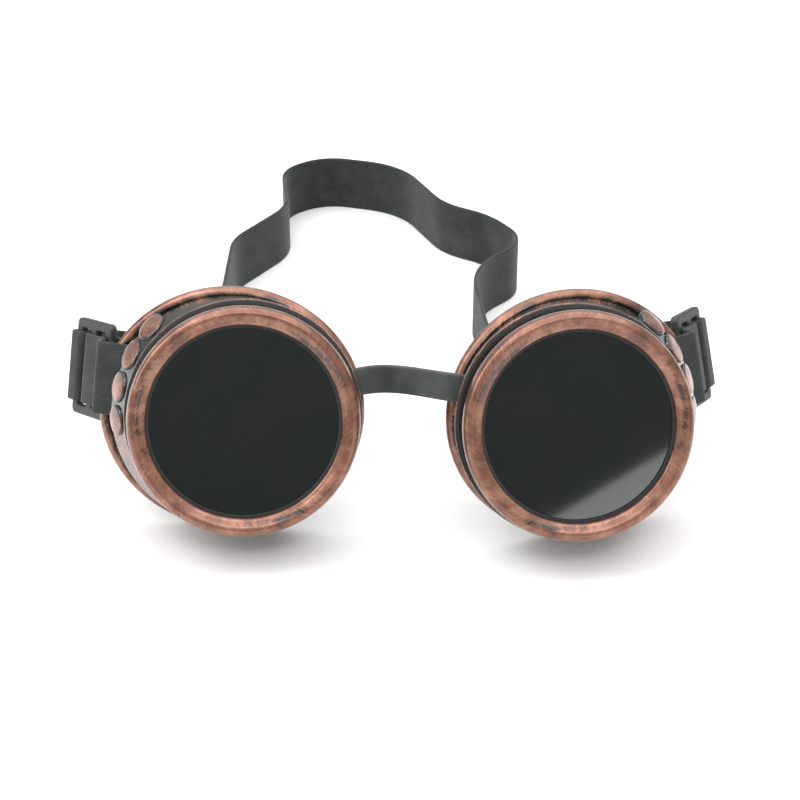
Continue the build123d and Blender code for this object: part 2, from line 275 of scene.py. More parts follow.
# ---------------------------------------------------------------- materials
class Graph:
    """A material's node tree, with short ways to add the nodes used here."""

    def __init__(self, name):
        self.material = bpy.data.materials.new(name)
        self.material.use_nodes = True
        self.tree = self.material.node_tree
        self.tree.nodes.clear()
        self.shader = self.add("ShaderNodeBsdfPrincipled")
        out = self.add("ShaderNodeOutputMaterial")
        self.link(self.shader.outputs[0], out.inputs[0])

    def add(self, kind, **values):
        node = self.tree.nodes.new(kind)
        for key, value in values.items():
            setattr(node, key, value)
        return node

    def link(self, a, b):
        self.tree.links.new(a, b)

    def put(self, socket, value):
        if isinstance(value, bpy.types.NodeSocket):
            self.link(value, socket)
        else:
            socket.default_value = value

    def set(self, **values):
        for key, value in values.items():
            self.put(self.shader.inputs[key.replace("_", " ")], value)

    def math(self, operation, a, b=0.0):
        node = self.add("ShaderNodeMath", operation=operation)
        self.put(node.inputs[0], a)
        self.put(node.inputs[1], b)
        return node.outputs[0]

    def noise(self, vector, scale, detail=4.0, rough=0.55, stretch=(1, 1, 1)):
        if tuple(stretch) != (1, 1, 1):
            mapping = self.add("ShaderNodeMapping")
            mapping.inputs["Scale"].default_value = stretch
            self.link(vector, mapping.inputs["Vector"])
            vector = mapping.outputs[0]
        node = self.add("ShaderNodeTexNoise")
        self.link(vector, node.inputs["Vector"])
        node.inputs["Scale"].default_value = scale
        node.inputs["Detail"].default_value = detail
        node.inputs["Roughness"].default_value = rough
        return node.outputs["Fac"]

    def ramp(self, value, *stops):
        node = self.add("ShaderNodeValToRGB")
        self.put(node.inputs[0], value)
        while len(node.color_ramp.elements) < len(stops):
            node.color_ramp.elements.new(0.5)
        for element, (spot, colour) in zip(node.color_ramp.elements, stops):
            element.position = spot
            element.color = (*colour, 1)
        return node.outputs[0]

    def step(self, value, low, high):
        """0 below low, 1 above high, smooth between."""
        node = self.add("ShaderNodeMapRange", interpolation_type="SMOOTHSTEP")
        self.put(node.inputs["Value"], value)
        node.inputs["From Min"].default_value = low
        node.inputs["From Max"].default_value = high
        return node.outputs[0]

    def mix(self, share, a, b):
        node = self.add("ShaderNodeMix", data_type="RGBA")
        self.put(node.inputs["Factor"], share)
        for socket, value in ((node.inputs[6], a), (node.inputs[7], b)):
            if isinstance(value, bpy.types.NodeSocket):
                self.link(value, socket)
            else:
                socket.default_value = (*value, 1)
        return node.outputs[2]

    def attribute(self, name):
        return self.add("ShaderNodeAttribute", attribute_name=name)

    def bump(self, height, strength, distance):
        node = self.add("ShaderNodeBump")
        node.inputs["Strength"].default_value = strength
        node.inputs["Distance"].default_value = distance
        self.link(height, node.inputs["Height"])
        self.link(node.outputs[0], self.shader.inputs["Normal"])

    def around(self, local):
        """(cos, sin, depth) about the cup's axis, slanted with the radius, for brush strokes."""
        split = self.add("ShaderNodeSeparateXYZ")
        self.link(local, split.inputs[0])
        x, y, z = split.outputs
        x_squared = self.math("MULTIPLY", x, x)
        y_squared = self.math("MULTIPLY", y, y)
        radius = self.math("SQRT", self.math("ADD", x_squared, y_squared))
        slant = self.add("ShaderNodeVectorRotate")
        slant.rotation_type = "Z_AXIS"
        self.link(local, slant.inputs["Vector"])
        self.link(self.math("MULTIPLY", radius, 0.03), slant.inputs["Angle"])
        turned = self.add("ShaderNodeSeparateXYZ")
        self.link(slant.outputs[0], turned.inputs[0])
        around = self.add("ShaderNodeCombineXYZ")
        self.link(self.math("DIVIDE", turned.outputs[0], radius), around.inputs[0])
        self.link(self.math("DIVIDE", turned.outputs[1], radius), around.inputs[1])
        along = self.math("ADD", z, self.math("MULTIPLY", radius, 0.8))
        self.link(self.math("MULTIPLY", along, 0.1), around.inputs[2])
        return around.outputs[0]


def antique_copper():
    """Copper brushed over black plastic, under a clear gloss; 'copper' says where it is thick."""
    g = Graph("antique_copper")
    local = g.attribute("local").outputs["Vector"]
    around = g.around(local)
    cover = g.attribute("copper").outputs["Fac"]
    brush = g.noise(around, 1.0, 3.0, 0.6, (38.0, 38.0, 5.0))
    fine = g.noise(around, 1.0, 2.0, 0.6, (95.0, 95.0, 7.0))
    patch = g.noise(local, 0.16, 3.0, 0.6)
    grain = g.noise(local, 2.2, 3.0, 0.6)
    streaks = g.math("ADD", g.math("MULTIPLY", brush, 0.5), g.math("MULTIPLY", fine, 0.5))
    wear = g.math("ADD", g.math("MULTIPLY", streaks, 0.55), g.math("MULTIPLY", patch, 0.45))
    level = g.math("ADD", cover, g.math("MULTIPLY", g.math("SUBTRACT", wear, 0.49), 2.6))
    share = g.step(level, 0.26, 0.74)
    tone = g.math("ADD", g.math("MULTIPLY", patch, 0.6), g.math("MULTIPLY", streaks, 0.4))
    copper = g.ramp(
        tone,
        (0.36, (0.100, 0.042, 0.030)),
        (0.50, (0.215, 0.092, 0.058)),
        (0.62, (0.345, 0.170, 0.112)),
    )
    black = g.ramp(grain, (0.3, (0.005, 0.008, 0.008)), (0.7, (0.013, 0.015, 0.014)))
    g.set(
        Base_Color=g.mix(share, black, copper),
        Metallic=g.math("MULTIPLY", share, 0.72),
        Roughness=g.ramp(share, (0.0, (0.16,) * 3), (1.0, (0.34,) * 3)),
        Coat_Weight=0.5,
        Coat_Roughness=0.06,
    )
    height = g.math("ADD", g.math("MULTIPLY", share, 0.6), g.math("MULTIPLY", grain, 0.25))
    g.bump(height, 0.25, 0.00012)
    return g.material


def dark_glass():
    g = Graph("dark_glass")
    local = g.attribute("local").outputs["Vector"]
    dust = g.noise(local, 5.0, 2.0, 0.6)
    haze = g.noise(local, 0.08, 2.0, 0.5)
    g.set(
        Base_Color=g.ramp(haze, (0.35, (0.0030, 0.0062, 0.0052)), (0.65, (0.0060, 0.0072, 0.0070))),
        Roughness=g.ramp(dust, (0.4, (0.035,) * 3), (0.75, (0.06,) * 3)),
        IOR=1.46,
    )
    return g.material


def clear_glass():
    g = Graph("clear_glass")
    local = g.attribute("local").outputs["Vector"]
    g.set(
        Base_Color=g.ramp(g.noise(local, 0.1), (0.3, (0.90, 0.95, 0.93)), (0.7, (0.94, 0.97, 0.96))),
        Roughness=0.02,
        IOR=1.5,
        Transmission_Weight=1.0,
    )
    return g.material


def rubber():
    g = Graph("gasket_rubber")
    local = g.attribute("local").outputs["Vector"]
    grain = g.noise(local, 3.0)
    g.set(
        Base_Color=g.ramp(grain, (0.3, (0.010, 0.010, 0.010)), (0.7, (0.024, 0.024, 0.023))),
        Roughness=g.ramp(grain, (0.3, (0.55,) * 3), (0.7, (0.7,) * 3)),
    )
    g.bump(grain, 0.3, 0.0001)
    return g.material


def moulded_black():
    g = Graph("black_plastic")
    local = g.attribute("local").outputs["Vector"]
    grain = g.noise(local, 6.0, 3.0, 0.6)
    tone = g.noise(local, 0.35, 2.0)
    g.set(
        Base_Color=g.ramp(tone, (0.3, (0.022, 0.025, 0.024)), (0.7, (0.036, 0.040, 0.038))),
        Roughness=g.ramp(grain, (0.3, (0.42,) * 3), (0.7, (0.56,) * 3)),
    )
    g.bump(grain, 0.35, 0.00006)
    return g.material


def band_vinyl():
    g = Graph("band_vinyl")
    local = g.attribute("local").outputs["Vector"]
    tone = g.noise(local, 0.22, 3.0)
    grain = g.noise(local, 4.0, 3.0)
    g.set(
        Base_Color=g.ramp(tone, (0.35, (0.030, 0.036, 0.034)), (0.65, (0.048, 0.055, 0.050))),
        Roughness=g.ramp(grain, (0.3, (0.40,) * 3), (0.7, (0.52,) * 3)),
    )
    g.bump(grain, 0.25, 0.00005)
    return g.material


def elastic():
    """Knitted elastic: lengthwise ribs across 'run'.y and small cross stitches along 'run'.x."""
    g = Graph("elastic")
    run = g.attribute("run").outputs["Vector"]
    split = g.add("ShaderNodeSeparateXYZ")
    g.link(run, split.inputs[0])
    along, across = split.outputs[0], split.outputs[1]
    rib = g.math("SINE", g.math("MULTIPLY", across, 2 * math.pi / 0.8))
    stitch_along = g.math("MULTIPLY", along, 2 * math.pi / 0.62)
    stitch = g.math("SINE", g.math("ADD", stitch_along, g.math("MULTIPLY", across, 5.7)))
    fuzz = g.noise(run, 7.0, 3.0, 0.7)
    soft = g.noise(run, 0.12, 3.0, 0.6)
    weave = g.math("ADD", g.math("MULTIPLY", rib, 0.3), g.math("MULTIPLY", stitch, 0.3))
    height = g.math("ADD", weave, g.math("MULTIPLY", fuzz, 1.1))
    # Colour follows the bump height: painted shade in the knit's hollows and a painted highlight on
    # its ribs and fuzz, over random tone from 'soft'
    tone_and_painted_knit_shade = g.math("ADD", g.math("MULTIPLY", height, 0.22), g.math("MULTIPLY", soft, 0.8))
    g.set(
        Base_Color=g.ramp(
            tone_and_painted_knit_shade,
            (0.25, (0.015, 0.018, 0.017)),
            (0.55, (0.030, 0.034, 0.032)),
            (0.90, (0.062, 0.068, 0.064)),
        ),
        Roughness=0.86,
        Sheen_Weight=0.35,
        Sheen_Roughness=0.4,
        Sheen_Tint=(0.55, 0.58, 0.56, 1.0),
        Specular_IOR_Level=0.25,
    )
    g.bump(height, 0.55, 0.00016)
    return g.material


def thread_material():
    g = Graph("thread")
    local = g.attribute("local").outputs["Vector"]
    twist = g.noise(local, 5.0, 2.0, 0.6)
    g.set(
        Base_Color=g.ramp(twist, (0.3, (0.014, 0.015, 0.015)), (0.7, (0.04, 0.043, 0.04))),
        Roughness=0.7,
        Sheen_Weight=0.3,
    )
    return g.material


def stud_metal():
    g = Graph("stud_metal")
    local = g.attribute("local").outputs["Vector"]
    tarnish = g.noise(local, 1.4, 3.0, 0.6)
    g.set(
        Base_Color=g.ramp(tarnish, (0.35, (0.20, 0.10, 0.05)), (0.65, (0.50, 0.30, 0.17))),
        Metallic=0.9,
        Roughness=g.ramp(tarnish, (0.3, (0.3,) * 3), (0.7, (0.5,) * 3)),
    )
    return g.material


COPPER = antique_copper()
DARK = dark_glass()
CLEAR = clear_glass()
RUBBER = rubber()
PLASTIC = moulded_black()
VINYL = band_vinyl()
ELASTIC = elastic()
THREAD = thread_material()
STUD = stud_metal()


def paint(obj, cover):
    """Writes how thick the copper is at each point, from cover(x, y, z) in the cup's frame."""
    layer = obj.data.attributes.new("copper", "FLOAT", "POINT")
    local = obj.data.attributes["local"].data
    layer.data.foreach_set("value", [cover(*d.vector) for d in local])


def ease(value, low, high):
    t = min(1.0, max(0.0, (value - low) / (high - low)))
    return t * t * (3 - 2 * t)


# ---------------------------------------------------------------- lens rings
def thread_wave(angle, z):
    """Triangular screw thread, -1 in the root to 1 at the crest."""
    turn = (z / PITCH - angle / (2 * math.pi)) % 1.0
    return 4 * abs(turn - 0.5) - 1


def ring_profile(angle):
    lip = [(OPENING_R, LIP_Z), (OPENING_R, -1.75), (OPENING_R + 0.06, -1.35)]
    crown = [
        (OPENING_R + 0.28, -1.08),
        (OPENING_R + 0.75, -0.86),
        (25.7, -0.42),
        (26.5, -0.08),
        (27.3, 0.0),
        (28.05, -0.30),
        (28.62, -0.98),
        (28.93, -1.95),
        (BEAD_R, -2.9),
        (28.93, -3.9),
        (28.72, -4.75),
        (28.45, -5.3),
    ]
    bead = [tuple(p) for p in spline([lip[-1], *crown], 5)]
    skirt = [
        (SKIRT_R + 0.03, -5.42),
        (SKIRT_R, -5.6),
        (SKIRT_R, -7.0),
        (SKIRT_R, -8.1),
        (SKIRT_R - 0.1, -8.32),
        (SKIRT_R - 0.3, RING_BACK),
        (THREAD_R + 0.25, RING_BACK),
    ]
    inside = []
    for i in range(23):
        z = RING_BACK + 0.25 + i * (-2.75 - RING_BACK - 0.25) / 22
        deep = ease(z, -8.15, -7.6) * (1 - ease(z, -3.5, -3.0))
        inside.append((THREAD_R + 0.12 - 0.12 * deep * thread_wave(angle, z), z))
    return lip[:2] + bead + skirt + inside + [(THREAD_R, LIP_Z)]


def ring_cover(x, y, z):
    """Bare inside the thread, thinner on the skirt and in a wandering worn band on the bead."""
    r = math.hypot(x, y)
    if r < THREAD_R + 0.3 and z < LIP_Z + 0.05:
        return 0.0
    if z < -5.2:
        return 0.62
    a = math.atan2(y, x)
    middle = 25.8 + 0.5 * math.sin(2 * a + 0.6) + 0.3 * math.sin(5 * a)
    dull = 1 - ease(abs(r - middle), 0.1, 1.7)
    share = 0.62 + 0.3 * math.sin(3 * a + 1.0)
    return 1.05 - 0.68 * dull * share - 0.3 * ease(-z, 4.3, 5.2)


def lens_ring(side):
    obj = finish_mesh(side + "_ring", lathe(ring_profile, 224), CUP[side], COPPER, 50)
    paint(obj, ring_cover)
    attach(obj, side + "_ring")
    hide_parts(side + "_lens_ring")


# ---------------------------------------------------------------- lenses and gaskets
def disc_profile(inner, outer, low, high, edge):
    """Bevelled washer, or a disc when inner is 0."""
    points = [
        (inner, high),
        (outer - edge, high),
        (outer, high - edge),
        (outer, low + edge),
        (outer - edge, low),
        (inner, low),
    ]
    return lambda angle: points


def lens_stack(side):
    """From the front: gasket, dark lens, clear lens, gasket, with hole, thickness and bevel."""
    stack = (
        ("front_gasket", RUBBER, "gasket_rubber", GASKET_HOLE_R, 0.6, 0.15),
        ("dark_lens", DARK, "dark_glass", 0.0, 3.0, 0.35),
        ("clear_lens", CLEAR, "clear_glass", 0.0, 1.5, 0.3),
        ("rear_gasket", RUBBER, "gasket_rubber", GASKET_HOLE_R, 0.8, 0.2),
    )
    top = STACK_TOP
    for name, material, slot, hole, thick, edge in stack:
        bm = lathe(disc_profile(hole, GLASS_R, top - thick, top, edge), 128)
        obj = finish_mesh(side + "_" + name + "_piece", bm, CUP[side], material, 30)
        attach(obj, side + "_lens_pack")
        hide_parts(side + "_" + name)
        top -= thick


# ---------------------------------------------------------------- eye cups
def rim_radius(angle):
    """Distance from the cup's axis to the middle of the rolled rim."""
    c, s = math.cos(angle), math.sin(angle)
    a = (c / RIM_A) ** 2 + (s / RIM_B) ** 2
    b = -2 * RIM_SHIFT * c / RIM_A**2
    k = (RIM_SHIFT / RIM_A) ** 2 - 1
    return (-b + math.sqrt(b * b - 4 * a * k)) / (2 * a)


def rim_z(angle):
    return RIM_Z - RIM_SLOPE * (rim_radius(angle) * math.cos(angle) - RIM_SHIFT)


def panel_rear(angle):
    """How far back the raised side panel reaches; at the flange where there is none."""
    x = PANEL_MEAN_R * math.cos(angle)
    return min(FLANGE_BACK, FLANGE_BACK - PANEL_SLOPE * (x - PANEL_X))


def groove(angle, share, inset=0.0):
    """Point of the cup's wall, from the neck (0) to the rim (1)."""
    rim_r, rim_depth = rim_radius(angle), rim_z(angle)
    r = WALL_R + (rim_r + 0.4 - WALL_R) * share**2.1
    z = WALL_TOP_Z + (rim_depth - WALL_TOP_Z) * share
    return r - inset, z


def cup_neck(angle):
    """Lens seat and threaded neck, from the front lip to the flange."""
    found = [(SEAT_R, SEAT_Z), (SEAT_R, -5.0), (SEAT_R, -3.1), (SEAT_R + 0.25, -2.75), (26.2, -2.7)]
    for i in range(31):
        z = -2.9 - i * 6.1 / 30
        deep = ease(-z, 3.0, 3.5) * (1 - ease(-z, 8.3, 8.9))
        found.append((NECK_R - 0.32 + 0.3 * deep * thread_wave(angle, z), z))
    return found


def cup_flange():
    return [
        (NECK_R - 0.2, FLANGE_FRONT),
        (28.5, FLANGE_FRONT),
        (29.6, FLANGE_FRONT),
        (29.88, FLANGE_FRONT - 0.1),
        (FLANGE_R, FLANGE_FRONT - 0.36),
        (FLANGE_R, FLANGE_BACK + 0.36),
        (29.88, FLANGE_BACK + 0.1),
        (29.72, FLANGE_BACK),
    ]


def cup_side(angle):
    """Temple panel, where there is one, then the wall down to the rolled rim."""
    rim_depth = rim_z(angle)
    rear = panel_rear(angle)
    lift = ease(FLANGE_BACK - rear, 0.0, 1.2)
    panel_r = PANEL_START_R * lift + WALL_R * (1 - lift)
    found = [(panel_r, FLANGE_BACK - 0.02)]
    for i in range(1, 9):
        z = FLANGE_BACK + (rear + 0.35 * lift - FLANGE_BACK) * i / 8
        found.append((panel_r + PANEL_TAPER * (FLANGE_BACK - z), z))
    last_r = found[-1][0]
    reach = (rear - 0.75 * lift - WALL_TOP_Z) / (rim_depth - WALL_TOP_Z)
    start = min(0.95, max(0.03, reach))
    base_r = groove(angle, start)[0]
    found += [
        (last_r - 0.12 * lift, rear + 0.12 * lift),
        (last_r + (base_r - last_r) * 0.22, rear - 0.03 * lift),
        (last_r + (base_r - last_r) * 0.75, rear - 0.10 * lift),
        (last_r + (base_r - last_r) * 0.94, rear - 0.28 * lift),
    ]
    for i in range(15):
        share = start + (WALL_END - start) * i / 14
        found.append(groove(angle, share))
    return found


def cup_inside(angle):
    found = []
    for i in range(10):
        share = WALL_END - i * 0.87 / 9
        found.append(groove(angle, share, WALL_T))
    found += [
        (WALL_R - WALL_T - 0.3, FLANGE_BACK - 0.25),
        (WALL_R - WALL_T - 0.7, FLANGE_BACK),
        (SEAT_LIP_R + 0.3, FLANGE_BACK),
        (SEAT_LIP_R, FLANGE_BACK + 0.3),
        (SEAT_LIP_R, SEAT_Z - 0.2),
        (SEAT_LIP_R + 0.2, SEAT_Z),
    ]
    return found


def cup_profile(angle):
    rolled_rim = arc(rim_radius(angle), rim_z(angle), RIM_BEAD, 118, -150, 22)
    return cup_neck(angle) + cup_flange() + cup_side(angle) + rolled_rim + cup_inside(angle)


def rounded_box(size, radius, segments=5):
    """Cutter: a box whose edges along the local X axis are rounded."""
    bm = bmesh.new()
    bmesh.ops.create_cube(bm, size=1.0)
    bmesh.ops.scale(bm, vec=size, verts=bm.verts)
    along = [e for e in bm.edges if abs((e.verts[0].co - e.verts[1].co).normalized().x) > 0.9]
    bmesh.ops.bevel(bm, geom=along, offset=radius, segments=segments, affect="EDGES", profile=0.5)
    return bm


def cut(obj, bm, place):
    """Takes the shape in bm, placed in the cup's frame, out of obj (still in local mm)."""
    bm.transform(place)
    bmesh.ops.recalc_face_normals(bm, faces=bm.faces)
    mesh = bpy.data.meshes.new("cutter")
    bm.to_mesh(mesh)
    bm.free()
    cutter = bpy.data.objects.new("cutter", mesh)
    bpy.context.scene.collection.objects.link(cutter)
    modifier = obj.modifiers.new("cut", "BOOLEAN")
    modifier.object = cutter
    modifier.operation = "DIFFERENCE"
    modifier.solver = "EXACT"
    modifier.use_self = True
    made = bpy.data.meshes.new_from_object(obj.evaluated_get(bpy.context.evaluated_depsgraph_get()))
    obj.modifiers.clear()
    old = obj.data
    obj.data = made
    bpy.data.meshes.remove(old)
    bpy.data.objects.remove(cutter)
    bpy.data.meshes.remove(mesh)


def cup_cover(x, y, z):
    """Thick on the rolled rim and the flange, worn on the wall, bare inside."""
    r, a = math.hypot(x, y), math.atan2(y, x)
    rim_r, rim_depth = rim_radius(a), rim_z(a)
    off = math.hypot(r - rim_r, z - rim_depth)
    if off < RIM_BEAD + 0.15 and z > rim_depth - 2.2:
        front = (z - rim_depth) - 0.9 * (r - rim_r)
        inside = ease(rim_r - r, 0.6, 1.8)
        return 1.1 - 0.95 * ease(front, 0.2, 2.3) * (1 - inside) - 1.2 * inside
    if r > 29.75 and FLANGE_BACK - 0.1 < z < FLANGE_FRONT:
        return 0.75
    share = max(0.0, (z - WALL_TOP_Z) / (rim_depth - WALL_TOP_Z))
    wall_inner = r < rim_r - 2.5 and r < groove(a, share)[0] - 0.8
    if wall_inner or z > FLANGE_BACK:
        return 0.0
    near_rim = ease(-z, -rim_depth - 5.0, -rim_depth - 1.2)
    low_side = ease(math.cos(a), 0.1, 0.5) * ease(-math.sin(a), -0.15, 0.2)
    return 0.05 + 0.42 * near_rim + low_side * (0.5 - 0.25 * near_rim)


def eye_cup(side):
    """Turned shell with the strap slot and the nose-band slot cut through its wall."""
    bm = lathe(cup_profile, 288)
    bmesh.ops.remove_doubles(bm, verts=bm.verts, dist=0.0004)
    bmesh.ops.recalc_face_normals(bm, faces=bm.faces)
    mesh = bpy.data.meshes.new("cup_blank")
    bm.to_mesh(mesh)
    bm.free()
    blank = bpy.data.objects.new("cup_blank", mesh)
    bpy.context.scene.collection.objects.link(blank)
    strap_place = Matrix.Rotation(SLOT_ANGLE, 4, "Z") @ Matrix.Translation((SLOT_R, 0, SLOT_Z))
    cut(blank, rounded_box(STRAP_SLOT, STRAP_SLOT_CORNER), strap_place)
    band_place = Matrix.Translation((BAND_X, BAND_SLOT_Y, BAND_Z))
    cut(blank, rounded_box(BAND_SLOT, BAND_SLOT_CORNER, 3), band_place)
    bm = bmesh.new()
    bm.from_mesh(blank.data)
    bpy.data.objects.remove(blank)
    obj = finish_mesh(side + "_cup", bm, CUP[side], COPPER, 38)
    paint(obj, cup_cover)
    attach(obj, side + "_cup")
    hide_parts(side + "_eye_cup")


def side_discs(side):
    """Domed copper discs on the temple panel, the copper fading to black over each disc's edge: a
    painted dark line standing in for the shade of a recess round the disc.
    """
    lean = math.atan(PANEL_TAPER)
    seat_r = PANEL_START_R + PANEL_TAPER * DISC_ALONG
    profile = [
        (0.0, -0.9),
        (4.0, -0.9),
        (4.0, 0.12),
        (3.93, 0.32),
        (3.75, 0.46),
        (3.3, 0.56),
        (2.4, 0.66),
        (1.2, 0.72),
        (0.0, 0.74),
    ]
    for n, angle in enumerate(DISC_ANGLES):
        bm = lathe(lambda a: profile, 64)
        seat = Matrix.Rotation(math.radians(angle), 4, "Z")
        seat = seat @ Matrix.Translation((seat_r, 0, DISC_Z))
        seat = seat @ Matrix.Rotation(math.pi / 2 - lean, 4, "Y")
        flat = seat.inverted()
        bm.transform(seat)
        obj = finish_mesh(f"{side}_disc_{n + 1}", bm, CUP[side], COPPER, 35)

        # Painted shade: black over the disc's outer edge and side, where a recess round the disc
        # would be in shade
        def cover(x, y, z, flat=flat):
            p = flat @ Vector((x, y, z))
            r = math.hypot(p.x, p.y)
            return (0.92 - 0.95 * ease(r, 3.35, 3.95)) if p.z > 0.2 else 0.0

        paint(obj, cover)
        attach(obj, side + "_cup")


# ---------------------------------------------------------------- buckles
def buckle_frame(side):
    """From the buckle's own frame in mm (x along the strap, y across, z outward) to the row."""
    low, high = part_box(side + "_buckle")
    out = Vector(joint(side + "_buckle_slide")["axis"]).normalized()
    cup = CUP[side].to_3x3()
    across = (cup @ Vector((-math.sin(STRAP_LEAN), math.cos(STRAP_LEAN), 0))).normalized()
    face = out.cross(across) * TEMPLE[side]
    basis = Matrix((out, across, face)).transposed() * MM
    return Matrix.Translation((low + high) / 2) @ basis.to_4x4()


def rounded_outline(length, width, radius, count=8):
    found = []
    for sx, sy, start in ((1, 1, 0), (-1, 1, 90), (-1, -1, 180), (1, -1, 270)):
        for i in range(count + 1):
            a = math.radians(start + 90 * i / count)
            x = sx * (length / 2 - radius) + radius * math.cos(a)
            y = sy * (width / 2 - radius) + radius * math.sin(a)
            found.append((x, y))
    return found


def is_rim(edge):
    """True for the sharp edges round a flat plate's two faces."""
    sharp = len(edge.link_faces) == 2 and edge.calc_face_angle(0) > 1.2
    return sharp and abs(edge.verts[0].co.z - edge.verts[1].co.z) < 0.01


def buckle(side):
    """Three-bar slide: a plate with two windows, every edge rounded."""
    bm = bmesh.new()
    length = 3 * BAR + 2 * WINDOW
    half = BUCKLE_T / 2
    pitch = (BAR + WINDOW) / 2
    window = rounded_outline(WINDOW, WINDOW_W, WINDOW_CORNER, 4)
    plate = rounded_outline(length, BUCKLE_W, BUCKLE_CORNER)
    outlines = [(plate, 0.0), (window, pitch), (window, -pitch)]
    edges = []
    for outline, shift in outlines:
        ring = [bm.verts.new((x + shift, y, half)) for x, y in outline]
        edges += [bm.edges.new((ring[i - 1], ring[i])) for i in range(len(ring))]
    bmesh.ops.triangle_fill(bm, use_beauty=True, use_dissolve=False, edges=edges)
    top = list(bm.faces)
    made = bmesh.ops.extrude_face_region(bm, geom=top)
    lower = [v for v in made["geom"] if isinstance(v, bmesh.types.BMVert)]
    bmesh.ops.translate(bm, vec=(0, 0, -BUCKLE_T), verts=lower)
    bmesh.ops.recalc_face_normals(bm, faces=bm.faces)
    rims = [e for e in bm.edges if is_rim(e)]
    bmesh.ops.bevel(bm, geom=rims, offset=BUCKLE_EDGE, segments=5, affect="EDGES", profile=0.5)
    obj = finish_mesh(side + "_slide_buckle", bm, buckle_frame(side), PLASTIC, 30)
    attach(obj, side + "_adjuster")
    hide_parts(side + "_buckle")


# ---------------------------------------------------------------- webbing
def rounded_route(points, radius, steps=7):
    """Route with every corner turned into an arc; radius may be one value or one per corner."""
    points = [Vector(p) for p in points]
    radii = radius if isinstance(radius, list) else [radius] * (len(points) - 2)
    found = [points[0]]
    for before, here, after, bend in zip(points, points[1:], points[2:], radii):
        into, out = (here - before).normalized(), (after - here).normalized()
        turn = into.angle(out)
        if turn < 0.01:
            found.append(here)
            continue
        reach = bend * math.tan(turn / 2)
        start = here - into * reach
        side = (out - into * into.dot(out)).normalized()
        for i in range(steps + 1):
            a = turn * i / steps
            found.append(start + into * (bend * math.sin(a)) + side * (bend * (1 - math.cos(a))))
    found.append(points[-1])
    return found


def widest_bends(points):
    """The largest radius that fits each corner of a route."""
    points = [Vector(p) for p in points]
    found = []
    for before, here, after in zip(points, points[1:], points[2:]):
        into, out = here - before, after - here
        found.append(0.45 * min(into.length, out.length) / math.tan(into.angle(out) / 2))
    return found


def resample(points, step):
    """Points at even steps along a route, ends included."""
    lengths = [0.0]
    for a, b in zip(points, points[1:]):
        lengths.append(lengths[-1] + (b - a).length)
    count = max(2, round(lengths[-1] / step))
    found, k = [], 0
    for i in range(count + 1):
        want = lengths[-1] * i / count
        while k < len(points) - 2 and lengths[k + 1] < want:
            k += 1
        span = max(1e-9, lengths[k + 1] - lengths[k])
        found.append(points[k].lerp(points[k + 1], min(1.0, (want - lengths[k]) / span)))
    return found


def strip_outline(width, thick, ribs):
    """Section of a strip: rounded edges, and fine lengthwise ribs on both faces if asked."""
    half_w, half_t = width / 2, thick / 2
    flat = half_w - half_t
    count = 4 * ribs if ribs else 6
    found = []
    for face in (1, -1):
        for i in range(count + 1):
            w = face * flat * (1 - 2 * i / count)
            swell = 0.025 * math.cos(math.pi * i / 2) * (0 < i < count) if ribs else 0.0
            found.append((w, face * (half_t + swell)))
        for a in (30, 60, 90, 120, 150):
            tip = math.radians(a)
            found.append((-face * (flat + half_t * math.sin(tip)), face * half_t * math.cos(tip)))
    return found


def ribbon(name, centres, widths, size, matrix, material, ribs=22, start_run=0.0):
    """A strip along centres, its wide side along widths; 'run' holds (length, across)."""
    outline = strip_outline(*size, ribs)
    bm = bmesh.new()
    run_layer = bm.verts.layers.float_vector.new("run")
    loops, travelled = [], start_run
    for i, centre in enumerate(centres):
        ahead = centres[min(i + 1, len(centres) - 1)] - centres[max(i - 1, 0)]
        along = ahead.normalized()
        wide = (widths[i] - along * widths[i].dot(along)).normalized()
        face = along.cross(wide)
        if i:
            travelled += (centre - centres[i - 1]).length
        ring = []
        for w, t in outline:
            vert = bm.verts.new(centre + wide * w + face * t)
            vert[run_layer] = (travelled, w, t)
            ring.append(vert)
        loops.append(ring)
    for here, there in zip(loops, loops[1:]):
        for k in range(len(outline)):
            bm.faces.new((here[k - 1], here[k], there[k], there[k - 1]))
    bm.faces.new(loops[0][::-1])
    bm.faces.new(loops[-1])
    return finish_mesh(name, bm, matrix, material, 50)


def side_point(r, z):
    """A point of the strap's side view, (radius, z) at the temple, in the cup's frame."""
    out = r - SLOT_R
    x = SLOT_R * math.cos(SLOT_ANGLE) + out * math.cos(STRAP_LEAN)
    y = SLOT_R * math.sin(SLOT_ANGLE) + out * math.sin(STRAP_LEAN)
    return Vector((x, y, z))


def beside_buckle(along, off):
    """Side-view point at a distance along the buckle from its centre bar, and off its plane."""
    s, c = math.sin(BUCKLE_TURN), math.cos(BUCKLE_TURN)
    return BUCKLE_R + along * s + off * c, BUCKLE_Z - along * c + off * s


STRAP_ACROSS = Vector((-math.sin(STRAP_LEAN), math.cos(STRAP_LEAN), 0))


def cup_strap(name, side, points, bend):
    route = [side_point(p.x, p.y) for p in rounded_route(points, bend)]
    route = resample(route, 0.45)
    widths = [STRAP_ACROSS] * len(route)
    obj = ribbon(name, route, widths, (STRAP_W, STRAP_T), CUP[side], ELASTIC)
    return obj


def slot_loop(side):
    """The webbing through the cup's temple slot."""
    route = [
        FOLD_START,
        (RIM_PASS_R, -28.6),
        (30.6, -24.6),
        (26.9, -23.6),
        (26.9, -35.6),
        LEAD_START,
    ]
    loop = cup_strap(side + "_slot_loop", side, route, LOOP_BEND)
    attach(loop, side + "_cup")
    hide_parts(side + "_strap_loop")


